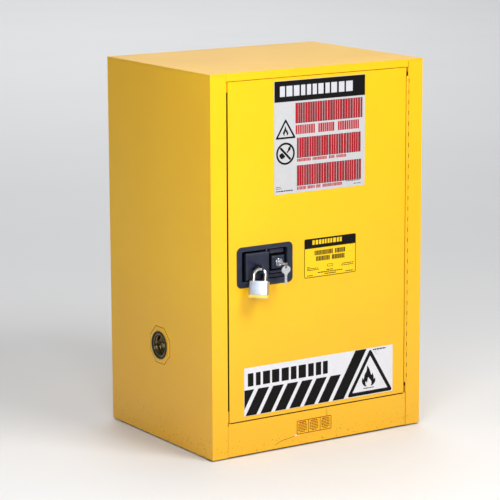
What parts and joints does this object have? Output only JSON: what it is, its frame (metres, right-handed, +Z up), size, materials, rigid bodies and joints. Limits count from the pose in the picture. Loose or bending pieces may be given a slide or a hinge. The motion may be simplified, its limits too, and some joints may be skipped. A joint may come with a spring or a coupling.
{
  "type": "flammable storage cabinet",
  "caption": "Compact double-walled steel safety cabinet with a hinged door, recessed paddle handle, key lock, padlock, rod latch, shelf, sump and side vents.",
  "frame": {"origin": "on the floor, at the middle of the whole cabinet's box", "axes": "+Z up, the door faces -Y, +X to the right seen from the front"},
  "size_m": [0.6008, 0.5135, 0.889],
  "materials": {
    "cabinet_paint": "smooth gloss powder coat",
    "galvanized_steel": "galvanized, dull",
    "plain_steel": "zinc plated",
    "black_plastic": "matt",
    "brass": "dull",
    "handle_paint": "blue-black satin coat",
    "chrome": "polished",
    "nickel_steel": "bright plated",
    "bumper_vinyl": "smooth",
    "white_label": "printed film",
    "yellow_label": "printed film",
    "brown_label": "printed film"
  },
  "bodies": {
    "case": {"left_side_panel": "cabinet_paint", "right_side_panel": "cabinet_paint", "top_panel": "cabinet_paint", "bottom_panel": "cabinet_paint", "back_panel": "cabinet_paint", "front_sill_rail": "cabinet_paint", "door_stop_frame": "cabinet_paint", "left_liner": "cabinet_paint", "right_liner": "cabinet_paint", "top_liner": "cabinet_paint", "back_liner": "cabinet_paint", "sump_pan": "cabinet_paint", "shelf_hanger_front_left": "galvanized_steel", "shelf_hanger_front_right": "galvanized_steel", "shelf_hanger_rear_left": "galvanized_steel", "shelf_hanger_rear_right": "galvanized_steel", "vent_flange_left": "black_plastic", "flame_arrester_left": "brass", "vent_flange_right": "black_plastic", "flame_arrester_right": "brass", "earth_screw": "brass", "hinge_frame_leaf": "cabinet_paint", "hinge_pin": "plain_steel", "sill_label": "brown_label"},
    "door": {"door_outer_panel": "cabinet_paint", "door_inner_panel": "cabinet_paint", "latch_cover": "galvanized_steel", "hinge_door_leaf": "cabinet_paint", "handle_dish": "handle_paint", "paddle_pin": "plain_steel", "paddle_spring": "plain_steel", "hub_bolt": "plain_steel", "upper_rod_guide": "black_plastic", "lower_rod_guide": "black_plastic", "lock_housing": "handle_paint", "lock_collar": "chrome", "fire_warning_label": "white_label", "contents_label": "yellow_label", "hazard_stripe_label": "white_label"},
    "paddle": {"paddle": "handle_paint"},
    "latch_hub": {"latch_hub": "plain_steel"},
    "upper_rod": {"upper_latch_rod": "plain_steel"},
    "lower_rod": {"lower_latch_rod": "plain_steel"},
    "side_bolt": {"side_latch_bolt": "plain_steel"},
    "lock_plug": {"lock_plug": "chrome", "inserted_key": "nickel_steel"},
    "key_ring": {"key_ring": "plain_steel"},
    "spare_key": {"spare_key": "nickel_steel"},
    "padlock_shackle": {"padlock_shackle": "chrome"},
    "padlock_body": {"padlock_body": "nickel_steel", "padlock_bumper": "bumper_vinyl"},
    "shelf": {"shelf": "galvanized_steel"},
    "vent_cap_left": {"vent_cap_left": "plain_steel"},
    "vent_cap_right": {"vent_cap_right": "plain_steel"},
    "foot_front_left": {"levelling_foot_front_left": "plain_steel"},
    "foot_front_right": {"levelling_foot_front_right": "plain_steel"},
    "foot_rear_left": {"levelling_foot_rear_left": "plain_steel"},
    "foot_rear_right": {"levelling_foot_rear_right": "plain_steel"}
  },
  "joints": [
    {"name": "door_hinge", "type": "hinge", "parent": "case", "child": "door", "pos_m": [0.2505, -0.2017, 0.48], "axis": [0, 0, 1], "range_deg": [0, 180]},
    {"name": "paddle_pull", "type": "hinge", "parent": "door", "child": "paddle", "pos_m": [-0.143, -0.1945, 0.445], "axis": [0, 0, 1], "range_deg": [0, 35], "stiffness_Nm_per_rad": 0.6, "springref_deg": -14.32},
    {"name": "hub_turn", "type": "hinge", "parent": "door", "child": "latch_hub", "pos_m": [-0.152, -0.173, 0.452], "axis": [0, 1, 0], "range_deg": [0, 30.5]},
    {"name": "upper_rod_slide", "type": "slide", "parent": "door", "child": "upper_rod", "axis": [0, 0, -1], "range_m": [0, 0.0126]},
    {"name": "lower_rod_slide", "type": "slide", "parent": "door", "child": "lower_rod", "axis": [0, 0, 1], "range_m": [0, 0.0126]},
    {"name": "side_bolt_slide", "type": "slide", "parent": "door", "child": "side_bolt", "axis": [1, 0, 0], "range_m": [0, 0.0096]},
    {"name": "key_turn", "type": "hinge", "parent": "door", "child": "lock_plug", "pos_m": [-0.1135, -0.2005, 0.4465], "axis": [0, 1, 0], "range_deg": [0, 90]},
    {"name": "ring_swing", "type": "hinge", "parent": "lock_plug", "child": "key_ring", "pos_m": [-0.1135, -0.22835, 0.4465], "axis": [1, 0, 0], "range_deg": [-70, 0]},
    {"name": "spare_key_hang", "type": "hinge", "parent": "key_ring", "child": "spare_key", "pos_m": [-0.1135, -0.2305, 0.4391], "axis": [0, 1, 0], "range_deg": [-90, 0]},
    {"name": "padlock_swing", "type": "hinge", "parent": "paddle", "child": "padlock_shackle", "pos_m": [-0.178, -0.2215, 0.441], "axis": [-0.7071, 0.7071, 0], "range_deg": [0, 20]},
    {"name": "padlock_release", "type": "slide", "parent": "padlock_shackle", "child": "padlock_body", "axis": [-0.183, -0.183, -0.9659], "range_m": [0, 0.012]},
    {"name": "shelf_lift", "type": "slide", "parent": "case", "child": "shelf", "axis": [0, 0, 1], "range_m": [0, 0.02]},
    {"name": "vent_cap_left_turn", "type": "hinge", "parent": "case", "child": "vent_cap_left", "pos_m": [-0.29, 0.028, 0.23], "axis": [-1, 0, 0], "range_deg": [0, 360]},
    {"name": "vent_cap_right_turn", "type": "hinge", "parent": "case", "child": "vent_cap_right", "pos_m": [0.29, 0.028, 0.23], "axis": [1, 0, 0], "range_deg": [0, 360]},
    {"name": "foot_front_left_turn", "type": "hinge", "parent": "case", "child": "foot_front_left", "pos_m": [-0.2655, -0.1345, 0.003], "axis": [0, 0, 1], "range_deg": [0, 360]},
    {"name": "foot_front_right_turn", "type": "hinge", "parent": "case", "child": "foot_front_right", "pos_m": [0.2655, -0.1345, 0.003], "axis": [0, 0, 1], "range_deg": [0, 360]},
    {"name": "foot_rear_left_turn", "type": "hinge", "parent": "case", "child": "foot_rear_left", "pos_m": [-0.2655, 0.2265, 0.003], "axis": [0, 0, 1], "range_deg": [0, 360]},
    {"name": "foot_rear_right_turn", "type": "hinge", "parent": "case", "child": "foot_rear_right", "pos_m": [0.2655, 0.2265, 0.003], "axis": [0, 0, 1], "range_deg": [0, 360]}
  ],
  "couplings": [
    {"joint": "hub_turn", "follows": "paddle_pull", "ratio": 0.85714},
    {"joint": "upper_rod_slide", "follows": "paddle_pull", "m_per_rad": 0.020057},
    {"joint": "lower_rod_slide", "follows": "paddle_pull", "m_per_rad": 0.020057},
    {"joint": "side_bolt_slide", "follows": "paddle_pull", "m_per_rad": 0.015086},
    {"joint": "spare_key_hang", "follows": "key_turn", "ratio": -1}
  ]
}
